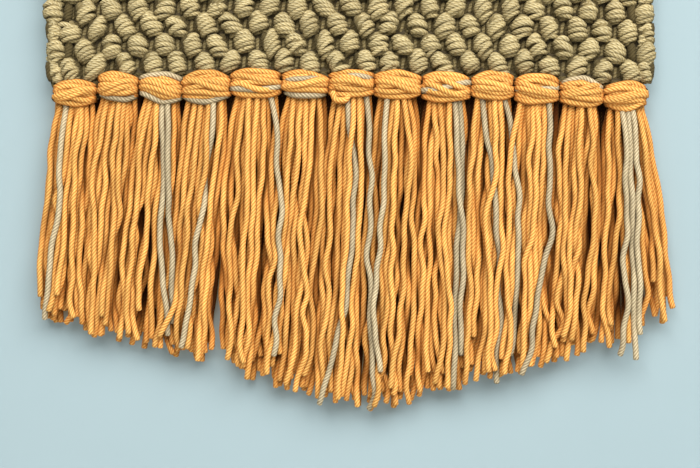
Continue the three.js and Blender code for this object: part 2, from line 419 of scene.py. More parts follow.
def yarn_faces(bundle, first_point, first_cell, cells):
    """The corners of a bundle's faces, its walls and then its ends, with their places on both maps."""
    strands, points, sides = bundle["rings"].shape[:3]
    strand, step, side = np.meshgrid(range(strands), range(points - 1), range(sides), indexing="ij")
    strand = strand[..., None]
    ring = np.stack([step, step, step + 1, step + 1], -1)
    turn = np.stack([side, side + 1, side + 1, side], -1)
    walls = first_point + (strand * points + ring) * sides + turn % sides
    wall_yarn = yarn_places(bundle, strand, ring, turn)
    cell = first_cell + strand
    wall_u = cell % cells[0] + BAKE_SIDE_MARGIN + (1 - 2 * BAKE_SIDE_MARGIN) * turn / sides
    wall_v = cell // cells[0] + BAKE_END_MARGIN + (1 - 2 * BAKE_END_MARGIN) * ring / (points - 1)

    strand, end, side = np.meshgrid(range(strands), range(2), range(sides), indexing="ij")
    ring = end * (points - 1)
    turn = np.where(end == 0, sides - 1 - side, side)
    caps = first_point + (strand * points + ring) * sides + turn
    cap_yarn = yarn_places(bundle, strand, ring, turn)
    cell = first_cell + strand
    angle = 2 * np.pi * turn / sides
    cap_middle = BAKE_END_MARGIN / 2 + (1 - BAKE_END_MARGIN) * end
    cap_u = cell % cells[0] + 0.5 + CAP_BAKE_SIZE[0] * np.cos(angle)
    cap_v = cell // cells[0] + cap_middle + CAP_BAKE_SIZE[1] * np.sin(angle)

    bake = np.stack([np.append(wall_u, cap_u), np.append(wall_v, cap_v)], -1)
    walls_of_strand = (points - 1) * sides
    return {
        "points": np.append(walls, caps),
        "sizes": np.repeat([4, sides], [strands * walls_of_strand, strands * 2]),
        "dye": np.append(np.repeat(bundle["dye"], walls_of_strand), np.repeat(bundle["dye"], 2)),
        "yarn": np.concatenate([wall_yarn, cap_yarn]),
        "bake": bake / cells,
    }


def yarn_piece(name, bundles, materials):
    """One mesh of several bundles, with a map along the yarn and a bake map of one cell for each strand."""
    count = sum(len(bundle["tone"]) for bundle in bundles)
    longest = max(bundle["length"].max() for bundle in bundles)
    cell_shape = longest / (2 * math.pi * BUMP_STRAND_RADIUS)
    columns = min(count, math.ceil(math.sqrt(count * cell_shape)))
    cells = np.array([columns, math.ceil(count / columns)])
    first_point = first_cell = 0
    faces = []
    for bundle in bundles:
        faces.append(yarn_faces(bundle, first_point, first_cell, cells))
        first_point += bundle["rings"].size // 3
        first_cell += len(bundle["tone"])
    corners = {key: np.concatenate([face[key] for face in faces]) for key in faces[0]}
    places = np.concatenate([bundle["rings"].reshape(-1, 3) for bundle in bundles]) * MM
    shades = np.concatenate([bundle["shade"].ravel() for bundle in bundles])
    tones = [np.repeat(bundle["tone"], bundle["shade"][0].size) for bundle in bundles]

    mesh = bpy.data.meshes.new(name)
    mesh.vertices.add(len(places))
    mesh.vertices.foreach_set("co", places.ravel())
    mesh.loops.add(len(corners["points"]))
    mesh.loops.foreach_set("vertex_index", corners["points"])
    mesh.polygons.add(len(corners["sizes"]))
    mesh.polygons.foreach_set("loop_start", np.cumsum(corners["sizes"]) - corners["sizes"])
    mesh.polygons.foreach_set("material_index", corners["dye"])
    mesh.update(calc_edges=True)
    mesh.shade_smooth()
    mesh.uv_layers.new(name="yarn").data.foreach_set("uv", corners["yarn"].ravel())
    mesh.uv_layers.new(name="OFBake").data.foreach_set("uv", corners["bake"].ravel())
    mesh.attributes.new("tone", "FLOAT", "POINT").data.foreach_set("value", np.concatenate(tones))
    # The shade attribute holds the painted shade that darkens the yarn's colour.
    mesh.attributes.new("shade", "FLOAT", "POINT").data.foreach_set("value", shades)
    for material in materials:
        mesh.materials.append(material)
    piece = bpy.data.objects.new(name, mesh)
    bpy.context.collection.objects.link(piece)
    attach(piece, "root")
    return piece


def openness(depth, hidden, clear, least=LEAST_OPEN):
    """How open yarn lies that far out, as painted shade: dark where it is hidden, and 1 from where it is
    clear.
    """
    return np.clip((depth - hidden) / (clear - hidden), least, 1)


def moss_places(first_row, shift, edge_out):
    """Middles and sizes of the bumps in half a face's rows: x, z and a share of full size.

    Rows alternate between full bumps, the outer ones pushed out, and bumps between those of the row above,
    with a smaller one at each end.
    """
    outer = (STITCHES_WIDTH - BUMP_PITCH) / 2
    full_row = np.linspace(-outer, outer, BUMPS_ACROSS)
    places = []
    for row in range(first_row, first_row + HALF_ROWS):
        z = -BIND_OFF_HEIGHT - ROW_HEIGHT * (row + 0.5)
        if (row + shift) % 2 == 0:
            row_x = full_row.copy()
            row_x[[0, -1]] += -edge_out, edge_out
            places += [(x, z, 1.0) for x in row_x]
        else:
            row_x = full_row[:-1] + BUMP_PITCH / 2
            places += [(x, z, 1.0) for x in row_x]
            edge = STITCHES_WIDTH / 2 - HALF_BUMP_INSET
            places += [(-edge, z, HALF_BUMP_SHARE), (edge, z, HALF_BUMP_SHARE)]
    return np.array(places)


def vary(spread, *shape):
    """Chance differences for bumps, strands and points, the same along whatever the shape leaves out."""
    return chance.normal(0, spread, shape + (1,) * (3 - len(shape)))


def lean_bumps(places, outward, right, up, out):
    """Puts lines drawn right, up and outward from each bump's middle in place, leaning as the bumps do."""
    bumps = len(places)
    right = right - (BUMP_LEAN + vary(BUMP_VARIES["lean"], bumps)) * up
    x = places[:, 0, None, None] - outward * right + vary(BUMP_VARIES["across"], bumps)
    z = places[:, 1, None, None] + up + vary(BUMP_VARIES["down"], bumps)
    paths = np.stack(np.broadcast_arrays(x, outward * out, z), -1)
    return sag_panel(paths.reshape(-1, *paths.shape[2:]))


def bump_paths(places, outward, strands, points):
    """Centre lines over each bump: arches stacked from top to bottom, bent down at both ends."""
    bumps = len(places)
    size = places[:, 2, None, None]
    swing = np.linspace(-BUMP_DIVE, BUMP_DIVE, points)
    fan = np.linspace(BUMP_FAN, -BUMP_FAN, strands)[:, None] + vary(STRAND_VARIES["fan"], bumps, strands)
    uneven = 1 + vary(BUMP_VARIES["width"], bumps) + vary(STRAND_VARIES["width"], bumps, strands)
    narrowing = BUMP_END_WIDTH + (1 - BUMP_END_WIDTH) * np.cos(fan)
    wide = BUMP_HALF_WIDTH * size * narrowing * uneven
    high = BUMP_HALF_HEIGHT * (1 + vary(BUMP_VARIES["height"], bumps))
    bulge = BUMP_BULGE * (HALF_BUMP_BULGE + (1 - HALF_BUMP_BULGE) * size)
    over = bulge * (1 + vary(BUMP_VARIES["height"], bumps)) * np.cos(fan) ** BUMP_CROWN
    droop = BUMP_DROOP * (1 + np.sin(fan)) / 2 + vary(STRAND_VARIES["droop"], bumps, strands)
    strays = chance.random((bumps, strands, 1)) < BUMP_STRAY_SHARE
    stray = strays * chance.uniform(-BUMP_STRAY, BUMP_STRAY, (bumps, strands, 1))
    rise = BUMP_RISE_TO_RIGHT + vary(BUMP_VARIES["rise"], bumps)
    rise = rise + vary(STRAND_VARIES["rise"], bumps, strands) + stray
    right = wide * np.sin(swing)
    up = high * np.sin(fan) + rise * right - droop * (1 - np.cos(swing))
    out = BUMP_BASE + over * np.cos(swing) + vary(STRAND_VARIES["out"], bumps, strands) + np.abs(stray)
    return lean_bumps(places, outward, right, up, out)


def core_paths(places, outward):
    """The wool inside each bump, that its arches close over."""
    size = places[:, 2, None, None]
    up = np.linspace(-CORE_REACH, CORE_REACH, CORE_POINTS) * size
    return lean_bumps(places, outward, 0, up, CORE_OUT * size)


def leg_paths(places, outward):
    """The two legs of the stitch in each hollow, a narrow V under the bumps."""
    down = np.linspace(0, 1, LEG_POINTS)
    spread = LEG_SPREAD[0] + (LEG_SPREAD[1] - LEG_SPREAD[0]) * down
    y = outward * (LEG_BOW * (1 - (2 * down - 1) ** 2) - LEG_DEPTH)
    z = places[:, 1, None] - LEG_REACH * (2 * down - 1)
    paths = []
    for side in (-1, 1):
        x = places[:, 0, None] + side * spread
        paths.append(np.stack(np.broadcast_arrays(x, y, z), -1))
    return sag_panel(np.concatenate(paths))


OLIVE_WOOL = yarn_material("olive_wool", OLIVE, OLIVE_PAINTED_SHADE, OLIVE_PLIES)
for face in STITCH_FACES:
    for half, first_row in (("upper", 0), ("lower", HALF_ROWS)):
        bumps = moss_places(first_row, face["shift"], face["edge_out"])
        hollows = moss_places(first_row, 1 - face["shift"], LEG_EDGE_OUT)
        arches = bump_paths(bumps, face["outward"], face["strands"], face["points"])
        # Painted shade: each bump's strands darken towards its bottom and where they lie deep, and its core
        # and the legs beside it are painted dark.
        lower = np.tile(np.linspace(1, BUMP_LOWER_OPEN, face["strands"]), len(bumps))[:, None]
        shade = {
            "front": lower * openness(-arches[..., 1], BUMP_HIDDEN, BUMP_CLEAR, BUMP_LEAST_OPEN),
            "back": lower * openness(arches[..., 1], BUMP_HIDDEN, BUMP_CLEAR, BUMP_LEAST_OPEN),
        }
        bundles = [spin_yarn(arches, BUMP_STRAND_RADIUS, TO_TOP, sides=BUMP_STRAND_SIDES, **shade)]
        cores = core_paths(bumps, face["outward"])
        bundles.append(spin_yarn(cores, CORE_RADIUS, TO_BACK, front=CORE_OPEN, back=CORE_OPEN))
        legs = leg_paths(hollows, face["outward"])
        bundles.append(spin_yarn(legs, LEG_RADIUS, TO_BACK, front=LEG_OPEN, back=LEG_OPEN))
        piece = yarn_piece(f"{face['name']}_{half}", bundles, [OLIVE_WOOL])
        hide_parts("knitted_panel")


# The panel's edges: a chain bound off along the top, the cast-on chain of the hem that the tassels are
# hitched through, and the turning loops at the ends of the rows. All are the same olive wool.
EDGE_STRAND_RADIUS = 1.5
LINK_PITCH = 6.4
LINK_LENGTH = 9.4
LINK_FULLNESS = 0.8
LINK_SKEW = 0.35
LINK_TWIST = 0.5
LINK_POINTS = 11
CHAIN_INSET = 1
# Painted shade: how open the chains lie to the back, which darkens them.
CHAIN_BACK_OPEN = 0.9
TURN_LOOP_REACH = 3.1
TURN_LOOP_DEPTH = 2.9
TURN_LOOP_INSETS = (5.0, 7.6)
TURN_LOOP_LIFTS = (-3.0, 0.0, 3.0)
TURN_LOOP_TILT = 1.2
TURN_LOOP_BEND = math.radians(111.6)
TURN_LOOP_POINTS = 11
# Painted shade: how open the turning loops lie, which darkens them.
TURN_LOOP_OPEN = 0.75
TURN_LOOP_VARIES = {"reach": 0.5, "tilt": 0.5, "lift": 0.4}

# Rows of chain links: the height, how far a link's two sides part front to back and up and down, which way
# the links run and how open they lie to the front, which darkens them as painted shade.
CHAIN_ROWS = (
    {"z": -1.5, "part_y": 1.7, "part_z": 0.3, "runs": 1, "front": 1.0},
    {"z": -4.0, "part_y": 1.9, "part_z": 0.3, "runs": -1, "front": 0.8},
    {"z": STITCHES_BOTTOM - 1.6, "part_y": 0.5, "part_z": 1.2, "runs": 1, "front": 0.15},
    {"z": STITCHES_BOTTOM - 4.9, "part_y": 0.5, "part_z": 1.2, "runs": -1, "front": 0.0},
    {"z": STITCHES_BOTTOM - 8.1, "part_y": 0.6, "part_z": 0.9, "runs": 1, "front": 0.0},
)


def chain_paths(row):
    """Links of a chain along the panel's width, each two strands that part and meet again."""
    share = np.linspace(0, 1, LINK_POINTS)
    starts = np.arange(CHAIN_INSET - PANEL_WIDTH / 2, PANEL_WIDTH / 2 - LINK_LENGTH, LINK_PITCH)
    x = row["runs"] * (starts[:, None] + LINK_LENGTH * share)
    paths = []
    for side in (-1, 1):
        parted = side * np.sin(np.pi * share**LINK_FULLNESS)
        y = row["part_y"] * parted + LINK_SKEW * row["runs"] * (2 * share - 1)
        z = row["z"] + row["part_z"] * parted + LINK_TWIST * side * row["runs"] * (share - 0.5)
        paths.append(np.stack(np.broadcast_arrays(x, y, z), -1))
    return sag_panel(np.concatenate(paths))


def turn_loop_paths():
    """Three strands at each end of each row, bent round the edge from the front to the back."""
    bend = np.linspace(-TURN_LOOP_BEND, TURN_LOOP_BEND, TURN_LOOP_POINTS)
    paths = []
    for side in (-1, 1):
        for row in range(BUMP_ROWS):
            edge = STITCHES_WIDTH / 2 - TURN_LOOP_INSETS[row % 2]
            row_z = -BIND_OFF_HEIGHT - ROW_HEIGHT * (row + 0.5)
            for lift in TURN_LOOP_LIFTS:
                reach = TURN_LOOP_REACH + chance.normal(0, TURN_LOOP_VARIES["reach"])
                tilt = chance.normal(TURN_LOOP_TILT, TURN_LOOP_VARIES["tilt"])
                x = side * (edge + reach * np.cos(bend))
                y = TURN_LOOP_DEPTH * np.sin(bend)
                z = row_z + lift + tilt * bend + chance.normal(0, TURN_LOOP_VARIES["lift"])
                paths.append(np.stack([x, y, z], -1))
    return sag_panel(np.array(paths))


edge_bundles = []
# Each chain row and the turning loops carry their painted shade into the yarn's colour.
for row in CHAIN_ROWS:
    shade = {"front": row["front"], "back": CHAIN_BACK_OPEN}
    edge_bundles.append(spin_yarn(chain_paths(row), EDGE_STRAND_RADIUS, TO_TOP, **shade))
shade = {"front": TURN_LOOP_OPEN, "back": TURN_LOOP_OPEN}
edge_bundles.append(spin_yarn(turn_loop_paths(), EDGE_STRAND_RADIUS, TO_TOP, **shade))
edges = yarn_piece("edge_chains", edge_bundles, [OLIVE_WOOL])
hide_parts("knitted_panel")


# The tassels: bunches of cut mustard yarn, with a few beige strands, folded in half and hitched through the
# hem. The fold wraps across the front of each knot as a bar, and the cut ends hang below it in a loose,
# wavy fringe, trimmed to a shallow V.
MUSTARD = (0.785, 0.468, 0.132, 1)
# Each yarn's second colour is painted shade, for its ply grooves and for yarn that lies deep.
MUSTARD_PAINTED_SHADE = (0.40, 0.088, 0.003, 1)
BEIGE = (0.555, 0.455, 0.285, 1)
BEIGE_PAINTED_SHADE = (0.17, 0.12, 0.055, 1)
FRINGE_PLIES = 5
MUSTARD_DYE = 0
BEIGE_DYE = 1
STRAND_RADIUS = 1.55
TO_RIGHT = (1, 0, 0)

# The knot: outer wraps, others sunk between them, and a few that cross over them.
KNOT_RADIUS = 1.7
KNOT_TOP = -1.0
KNOT_BACK = 1.6
KNOT_DEPTH = 7.0
KNOT_EDGE_DEPTH = 0.55
KNOT_EDGE_ROUND = 2.4
KNOT_FRONT_ROUND = 0.7
KNOT_PINCH = 0.34
KNOT_WRAPS = 5
KNOT_LEAN = 0.16
KNOT_TILT = 0.03
KNOT_UNEVEN = 0.55
KNOT_TURN = math.radians(112)
KNOT_POINTS = 30
KNOT_REACH = 1.04
# Painted shade on the knots: how far out the wraps are hidden and clear, how dark they get at least, and how
# open their backs lie.
KNOT_HIDDEN = 0.8
KNOT_CLEAR = 4.6
KNOT_LEAST_OPEN = 0.15
KNOT_BACK_OPEN = 0.3
WRAP_LEAN = 0.14
WRAP_LIFT = 0.15
WRAP_BEND = 0.09
WRAP_BENDS = 2.5
INNER_SINK = 1.5
CROSS_WRAPS = 2
CROSS_LIFT = 1.0
CROSS_SPREAD = 0.45
CROSS_SLANTS = (0.3, 0.55)

# Beige wraps of the knots, counted from the bottom of the bar.
BEIGE_WRAPS = {2: [0], 3: [0, 4], 4: [0], 5: [1], 6: [0, 3], 7: [3], 9: [2], 11: [2], 12: [4]}

# One strand slipped out of its knot and hangs below the bar as a small loop.
SLIPPED_TASSEL = 7
SLIPPED_X = -4.6
SLIPPED_WIDTH = 8.0
SLIPPED_DROP = 4.6
SLIPPED_LIFT = 1.5
SLIPPED_OUT = 0.8
SLIPPED_SLANT = 1.2
SLIPPED_FULLNESS = 0.25
SLIPPED_ROUND = 4

# Layers of a tassel's strands, front to back: how many strands, how deep they hang, how wide they spread at
# the neck and at the belly as shares of the knot's width, how far the outer ones round back, how loose they
# are, and how far they stand sideways from even lanes.
LAYER_COLUMNS = ("strands", "depth", "neck", "belly", "rounding", "loose", "shift")
LAYERS = np.array(
    [
        (6, -4.8, 0.74, 0.90, 3.8, 1.0, -0.2),
        (6, -2.2, 0.76, 0.96, 2.8, 1.0, 0.3),
        (6, 0.6, 0.80, 1.00, 1.2, 0.8, -0.2),
        (9, 3.8, 1.00, 1.06, 0.4, 0.25, 0.0),
    ],
    dtype=[(column, float) for column in LAYER_COLUMNS],
)
FRONT_LAYER = 0
BACK_LAYER = len(LAYERS) - 1

# Beige strands of the front layer: the tassel, the lane counted from its left, where the strand is
# half-way down and at its cut end, and the height of that end.
BEIGE_COLUMNS = ("tassel", "lane", "middle_x", "foot_x", "foot_z")
BEIGE_STRANDS = np.array(
    [
        (1, 1, -146.5, -153.5, -244.0),
        (3, 3, -94.0, -90.5, -252.0),
        (3, 4, -90.5, -87.5, -246.0),
        (4, 4, -75.0, -82.5, -258.0),
        (5, 5, -35.0, -38.0, -262.0),
        (7, 2, 1.0, -16.0, -286.5),
        (7, 5, 10.5, 11.0, -289.5),
        (8, 1, 15.0, 13.0, -270.0),
        (9, 4, 55.0, 55.5, -262.0),
        (9, 5, 55.0, 52.5, -279.0),
        (10, 1, 73.5, 75.0, -276.0),
        (10, 5, 83.5, 79.0, -262.0),
        (11, 5, 96.5, 88.5, -271.5),
        (13, 2, 139.0, 135.5, -262.0),
        (13, 3, 141.0, 142.0, -264.0),
        (13, 4, 143.5, 145.5, -251.5),
    ],
    dtype=[(column, float) for column in BEIGE_COLUMNS],
)
BEIGE_FORWARD = 0.7

# Where strands leave the knot, how they gather there and widen below it, and how they stray further down.
ROOT_DROP = 12.8
STRAND_TOP_DROP = 10.5
STRAND_POINTS = 72
LAST_STEP = 0.004
NECK_GATHER = 0.5
NECK_LENGTH = 0.2
SHOULDER_WIDTH = 0.9
SHOULDER_LENGTH = 0.14
MIDDLE_SWING = 0.55
BELLY_FROM_KNOT = 0.4
STRAY_NECK = 0.5
STRAY_MIDDLE = 1.7
STRAY_FOOT = 2.4
STRAY_DEPTH = 0.9

# The trim: a shallow V, cut unevenly, with a few short strands. Each strand's number, counted in steps from
# tassel to tassel and from layer to layer, gives its own unevenness.
TRIM_TASSEL_STEP = 100
TRIM_LAYER_STEP = 20
SCATTER_STEP = 12.9898
SCATTER_STRETCH = 43758.5453
TRIM_POINT_X = 12
TRIM_POINT_Z = -288
TRIM_SLOPE = 0.285
TRIM_UNEVEN = 13
TRIM_LONG_SHARE = 0.35
SHORT_SHARE = 0.06
SHORT_BY = 14

# The levels at which the strands settle side by side, how they waver, kink and flick, and how much room
# each one takes.
LEVEL_STEP = 2.5
LOWEST_LEVEL = -297
LEVELS = np.arange(STITCHES_BOTTOM, LOWEST_LEVEL, -LEVEL_STEP)
BELOW_TIP = 1.15
LOOSE_BY = 0.2
LOOSE_SHARES = (0.8, 1.3)
FLICK = 42
FLICK_FROM = 0.86
FLICK_CURVE = 1.5
KINK_LEVELS = 8
KINK_SHAPE = np.hanning(KINK_LEVELS + 2)[1:-1]
KINK_SHARE = 0.02
SIDEWAYS_WAVES = ((0.62, 10), (0.5, 5))
SIDEWAYS_KINK = 1.0
FORWARD_WAVES = ((1.2, 9), (0.5, 5))
FORWARD_KINK = 0.8
STRAND_ROOM = 2.9
SETTLE_ROUNDS = 36
SETTLE_PUSH = 0.3
SETTLE_DEPTHWAYS = 1.5
SETTLE_LEAST_GAP = 1e-6
SETTLE_SMOOTHING = 0.5
SETTLE_FREE_BY = 1 / 12
FRINGE_FRONT = -7.2
FRINGE_BACK = 5.2

# Painted shade in the fringe: how strands darken those behind them, how dark the neck is painted from which
# layer back, and how light the fringe's rim stays.
COVER_REACH = 5.5
COVER_DEPTH = 2.6
COVER_DARKENS = 0.32
FRONT_HIDDEN = -4.5
FRONT_CLEAR = 3.5
BACK_HIDDEN = -6.0
BACK_CLEAR = 2.5
NECK_SHADE = 0.02
NECK_SHADE_CURVE = 1.6
NECK_SHADE_LAYER = 2
RIM_OPEN = 0.7
TIPS_FROM = 0.84
SIDES_FROM = 142
SIDES_WIDE = 4

# The back strands' way up behind the hem and into the stitch that they pass through.
SLOT_DROP = 3.4
SLOT_SHARE = 0.6
SLOT_DEPTH = 3.9
SLOT_START = -0.6
SLOT_BOW = 1.35
SLOT_POINTS = 14
# Painted shade: how open the back strands' upper ends lie to the front and to the back.
SLOT_FRONT_OPEN = 0.3
SLOT_BACK_OPEN = 1.0


def scatter(number):
    """A fixed fraction from 0 to 1 that looks random, the same for the same number."""
    wave = np.sin(number * SCATTER_STEP) * SCATTER_STRETCH
    return wave - np.floor(wave)


def fringe_strands():
    """Where each strand leaves its knot, hangs half-way and ends: a table of one row for each strand."""
    strands = []
    for index, tassel in enumerate(TASSELS):
        knot_x, width, swing, spread = KNOT_X[index], tassel["width"], tassel["swing"], tassel["spread"]
        for number, layer in enumerate(LAYERS):
            belly = max(layer["belly"] * width, BELLY_FROM_KNOT * width + (1 - BELLY_FROM_KNOT) * spread)
            shoulder = max(layer["neck"], SHOULDER_WIDTH) * width
            for lane in range(int(layer["strands"])):
                share = (lane + 0.5 + layer["shift"]) / layer["strands"] - 0.5
                stray = layer["loose"] * chance.normal(0, 1, 3)
                neck_x = knot_x + share * layer["neck"] * width + STRAY_NECK * stray[0]
                root_x = knot_x + share * shoulder + STRAY_NECK * stray[0]
                middle_x = knot_x + MIDDLE_SWING * swing + share * belly + STRAY_MIDDLE * stray[1]
                foot_x = knot_x + swing + share * spread + STRAY_FOOT * stray[2]
                strand_number = index * TRIM_TASSEL_STEP + number * TRIM_LAYER_STEP + lane + 1
                uneven = scatter(strand_number) - TRIM_LONG_SHARE
                trim_z = TRIM_POINT_Z + TRIM_SLOPE * abs(foot_x - TRIM_POINT_X) + TRIM_UNEVEN * uneven
                short_by = SHORT_BY * (chance.random() < SHORT_SHARE)
                rounding = layer["rounding"] * (2 * share) ** 2
                strands.append(
                    {
                        "tassel": index,
                        "layer": number,
                        "lane": lane,
                        "loose": layer["loose"],
                        "depth": layer["depth"] + rounding + chance.normal(0, STRAY_DEPTH),
                        "neck_x": neck_x,
                        "root_x": root_x,
                        "root_z": STITCHES_BOTTOM - tassel["sag"] - ROOT_DROP,
                        "middle_x": middle_x,
                        "foot_x": foot_x,
                        "foot_z": trim_z + short_by,
                        "dye": MUSTARD_DYE,
                    }
                )
    columns = [(column, float) for column in strands[0]]
    table = np.array([tuple(strand.values()) for strand in strands], dtype=columns)
    for beige in BEIGE_STRANDS:
        place = (table["tassel"] == beige["tassel"] - 1) & (table["layer"] == FRONT_LAYER)
        place &= table["lane"] == beige["lane"]
        for column in ("middle_x", "foot_x", "foot_z"):
            table[column][place] = beige[column]
        table["depth"][place] -= BEIGE_FORWARD
        table["dye"][place] = BEIGE_DYE
    return table


def wander(count, size, levels):
    """Irregular waver of each strand down the fringe, smooth over that many levels."""
    window = np.hanning(2 * levels + 1)
    noise = chance.normal(0, 1, (count, len(LEVELS) + 2 * levels))
    walk = np.array([np.convolve(row, window, "valid") for row in noise]).T
    return size * walk / np.linalg.norm(window)


def kinks(count, size):
    """Sharp kinks of the strands, at a small share of all levels."""
    strike = chance.random((count, len(LEVELS) + len(KINK_SHAPE) - 1)) < KINK_SHARE
    kick = strike * chance.normal(0, size, strike.shape)
    return np.array([np.convolve(row, KINK_SHAPE, "valid") for row in kick]).T


def waver(count, waves, kink):
    """All that makes the strands crooked in one direction: waves of several lengths, and kinks."""
    return sum(wander(count, size, levels) for size, levels in waves) + kinks(count, kink)


def settle(x, y, depth, hanging, free):
    """Moves strands that share room apart, level by level, and keeps each one smooth.

    Strands that cross pass in front of each other in the order of their depths, all the way down.
    """
    start_x, start_y = x.copy(), y.copy()
    behind = SETTLE_DEPTHWAYS * np.sign(depth[:, None] - depth)
    for _ in range(SETTLE_ROUNDS):
        for level in range(len(LEVELS)):
            there = np.flatnonzero(hanging[level])
            level_x, level_y = x[level, there], y[level, there]
            apart_x = level_x[:, None] - level_x
            apart_y = level_y[:, None] - level_y
            overlap = np.clip(STRAND_ROOM - np.hypot(apart_x, apart_y), 0, None)
            np.fill_diagonal(overlap, 0)
            apart_y += behind[np.ix_(there, there)]
            push = SETTLE_PUSH * overlap / (np.hypot(apart_x, apart_y) + SETTLE_LEAST_GAP)
            x[level, there] += (apart_x * push).sum(1)
            y[level, there] += (apart_y * push).sum(1)
        for place, start in ((x, start_x), (y, start_y)):
            shift = (place - start) * free
            from_beside = SETTLE_SMOOTHING / 2 * (shift[:-2] + shift[2:])
            shift[1:-1] = (1 - SETTLE_SMOOTHING) * shift[1:-1] + from_beside
            place[:] = start + shift
        np.clip(y, FRINGE_FRONT, FRINGE_BACK, out=y)
    return x, y


def fringe_openness(x, y, hanging):
    """How open each strand lies to the front and the back at each level, by the strands that cover it, as
    painted shade.
    """
    front, back = np.ones_like(x), np.ones_like(x)
    for level in range(len(LEVELS)):
        there = np.flatnonzero(hanging[level])
        level_x, level_y = x[level, there], y[level, there]
        beside = np.abs(level_x[:, None] - level_x)
        behind = (level_y[:, None] - level_y) / COVER_DEPTH
        cover = COVER_DARKENS * np.clip(1 - beside / COVER_REACH, 0, 1)
        front[level, there] = np.exp(-(cover * np.clip(behind, 0, 1)).sum(1))
        back[level, there] = np.exp(-(cover * np.clip(-behind, 0, 1)).sum(1))
    front *= openness(-y, FRONT_HIDDEN, FRONT_CLEAR)
    back *= openness(y, BACK_HIDDEN, BACK_CLEAR)
    return front, back


def hanging_paths(table):
    """Where every strand settles at every level, sideways and front to back, and how open it lies there, as
    painted shade.
    """
    count = len(table)
    level_z = LEVELS[:, None]
    down = np.clip((table["root_z"] - level_z) / (table["root_z"] - table["foot_z"]), 0, BELOW_TIP)
    straight = (
        table["root_x"] * (1 - down) * (1 - 2 * down)
        + 4 * table["middle_x"] * down * (1 - down)
        + table["foot_x"] * down * (2 * down - 1)
    )
    below_shoulder = np.clip(down / SHOULDER_LENGTH, 0, 1)
    drawn_in = (table["neck_x"] - table["root_x"]) * (1 - np.sin(np.pi / 2 * below_shoulder))
    below_neck = np.clip(down / NECK_LENGTH, 0, 1)
    gather = NECK_GATHER + (1 - NECK_GATHER) * np.sin(np.pi / 2 * below_neck)

    least_loose, most_loose = LOOSE_SHARES
    loose = table["loose"] * np.clip(down / LOOSE_BY, 0, 1)
    loose = loose * (least_loose + (most_loose - least_loose) * down)
    flick = np.clip(down - FLICK_FROM, 0, 1) ** FLICK_CURVE * chance.normal(0, FLICK, count)
    x = straight + drawn_in + flick + loose * waver(count, SIDEWAYS_WAVES, SIDEWAYS_KINK)
    forward = loose * waver(count, FORWARD_WAVES, FORWARD_KINK)
    y = table["depth"] * np.where(table["depth"] < 0, gather, 1) + forward

    hanging = (level_z < table["root_z"] + LEVEL_STEP) & (level_z > table["foot_z"] - LEVEL_STEP)
    x, y = settle(x, y, table["depth"], hanging, np.clip(down / SETTLE_FREE_BY, 0, 1))
    front, back = fringe_openness(x, y, hanging)
    # Painted shade: the necks of the back layers are painted nearly black where they fill the gaps between
    # tassels, and the tips and outer sides stay lighter.
    neck_open = NECK_SHADE + (1 - NECK_SHADE) * below_neck**NECK_SHADE_CURVE
    front *= np.where(table["layer"] >= NECK_SHADE_LAYER, neck_open, 1)
    at_tips = np.clip((down - TIPS_FROM) / (1 - TIPS_FROM), 0, 1)
    at_sides = np.clip((np.abs(table["root_x"]) - SIDES_FROM) / SIDES_WIDE, 0, 1)
    least = RIM_OPEN * np.maximum(at_tips, at_sides)
    return np.stack([x, y, np.maximum(front, least), np.maximum(back, least)])


def between_levels(values, z):
    """Values at heights between the levels, on a smooth curve through them, one row for each strand."""
    level = (LEVELS[0] - z) / LEVEL_STEP
    low = np.clip(np.floor(level).astype(int), 1, len(LEVELS) - 3)
    part = level - low
    strand = np.arange(values.shape[1])[:, None]
    before, start, end, after = (values[low + shift, strand] for shift in (-1, 0, 1, 2))
    cubic = 1.5 * (start - end) + 0.5 * (after - before)
    square = before - 2.5 * start + 2 * end - 0.5 * after
    return start + part * (0.5 * (end - before) + part * (square + part * cubic))


def strand_paths(table, hung, chosen):
    """Centre lines of the chosen strands from inside the knot to the cut ends, and how open they lie, as
    painted shade.
    """
    rows = table[chosen]
    share = np.append(np.linspace(0, 1 - LAST_STEP, STRAND_POINTS - 1), 1)
    top = rows["root_z"] + ROOT_DROP - STRAND_TOP_DROP
    z = top[:, None] + (rows["foot_z"] - top)[:, None] * share
    x, y, front, back = (between_levels(values[:, chosen], z) for values in hung)
    return np.stack([x, y, z], -1), front, back


def slot_paths(paths, index):
    """The back strands' upper ends: behind the hem and forward into the stitch that they pass through."""
    edge = STITCHES_BOTTOM - TASSELS["sag"][index]
    climb = np.linspace(0, 1, SLOT_POINTS, endpoint=False)
    start_x, start_y, start_z = np.moveaxis(paths[:, :1], 2, 0)
    x = KNOT_X[index] + (start_x - KNOT_X[index]) * (SLOT_SHARE + (1 - SLOT_SHARE) * climb)
    bow = np.sin(np.pi / 2 * np.clip(climb * SLOT_BOW, 0, 1))
    y = SLOT_START + (SLOT_DEPTH - SLOT_START) * bow + (start_y - SLOT_DEPTH) * climb
    z = edge - SLOT_DROP + (start_z - edge + SLOT_DROP) * climb
    return np.stack([x, y, z], -1)


